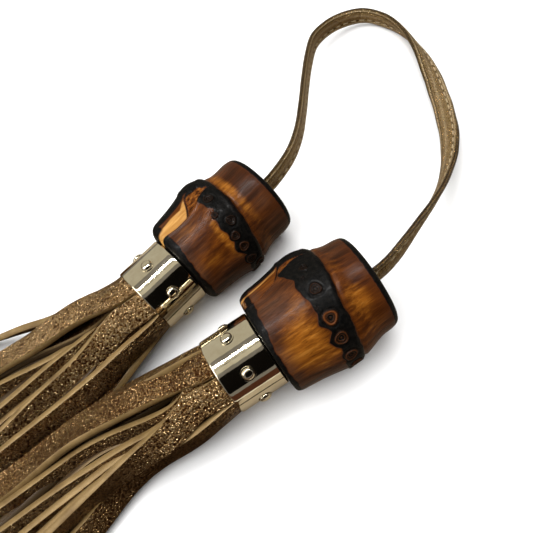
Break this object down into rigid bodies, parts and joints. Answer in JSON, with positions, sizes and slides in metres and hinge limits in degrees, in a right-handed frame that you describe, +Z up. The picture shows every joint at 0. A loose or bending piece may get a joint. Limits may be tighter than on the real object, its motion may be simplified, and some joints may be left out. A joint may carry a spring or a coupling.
{
  "type": "leather tassel pair",
  "caption": "Pair of leather tassels with scorched bamboo heads, polished metal collars held by dome-head pins, and one flat stitched leather strap loop that joins them.",
  "frame": {"origin": "on the surface the pair lies on, under the middle of the box round both tassels, the free strap left out", "axes": "+X from the fringes towards the strap loop, +Y from tassel b to tassel a, +Z up from the surface"},
  "size_m": [0.2433, 0.1249, 0.0366],
  "materials": {
    "bamboo": "flame-scorched bamboo root under a gloss lacquer",
    "collar_metal": "mirror-polished pale gold plating",
    "fringe_leather": "pebbled leather with a metallic bronze coat, cut edges left light tan",
    "strap_leather": "folded and stitched leather with a metallic bronze coat",
    "raw_leather": "uncoated leather, rolled and glued"
  },
  "bodies": {
    "strap_loop": {"strap_loop": "strap_leather"},
    "strap_end_a": {"strap_end_a": "strap_leather"},
    "head_a": {"bamboo_head_a": "bamboo", "collar_a": "collar_metal", "collar_pin_a_1": "collar_metal", "collar_pin_a_2": "collar_metal", "collar_pin_a_3": "collar_metal", "collar_pin_a_4": "collar_metal", "collar_pin_a_5": "collar_metal", "collar_pin_a_6": "collar_metal", "header_roll_a": "raw_leather", "strap_tail_a": "strap_leather", "strap_knot_a": "strap_leather"},
    "fringe_a": {"fringe_a": "fringe_leather"},
    "strap_end_b": {"strap_end_b": "strap_leather"},
    "head_b": {"bamboo_head_b": "bamboo", "collar_b": "collar_metal", "collar_pin_b_1": "collar_metal", "collar_pin_b_2": "collar_metal", "collar_pin_b_3": "collar_metal", "collar_pin_b_4": "collar_metal", "collar_pin_b_5": "collar_metal", "collar_pin_b_6": "collar_metal", "header_roll_b": "raw_leather", "strap_tail_b": "strap_leather", "strap_knot_b": "strap_leather"},
    "fringe_b": {"fringe_b": "fringe_leather"}
  },
  "joints": [
    {"name": "tassel_a_swing", "type": "hinge", "parent": "strap_loop", "child": "strap_end_a", "pos_m": [0.0846, 0.01803, 0.01717], "axis": [0, 0, 1], "range_deg": [-60, 0]},
    {"name": "tassel_a_lift", "type": "hinge", "parent": "strap_end_a", "child": "head_a", "pos_m": [0.07402, 0.01517, 0.0175], "axis": [-0.1288, 0.9917, 0], "range_deg": [0, 45]},
    {"name": "fringe_a_sway", "type": "hinge", "parent": "head_a", "child": "fringe_a", "pos_m": [0.00996, 0.00685, 0.0175], "axis": [0, 0, 1], "range_deg": [-35, 0]},
    {"name": "tassel_b_swing", "type": "hinge", "parent": "strap_loop", "child": "strap_end_b", "pos_m": [0.08969, -0.03589, 0.01749], "axis": [0, 0, 1], "range_deg": [0, 60]},
    {"name": "tassel_b_lift", "type": "hinge", "parent": "strap_end_b", "child": "head_b", "pos_m": [0.07887, -0.03713, 0.0183], "axis": [0.1011, 0.9949, 0], "range_deg": [0, 45]},
    {"name": "fringe_b_sway", "type": "hinge", "parent": "head_b", "child": "fringe_b", "pos_m": [0.0154, -0.03068, 0.0183], "axis": [0, 0, 1], "range_deg": [0, 35]}
  ]
}
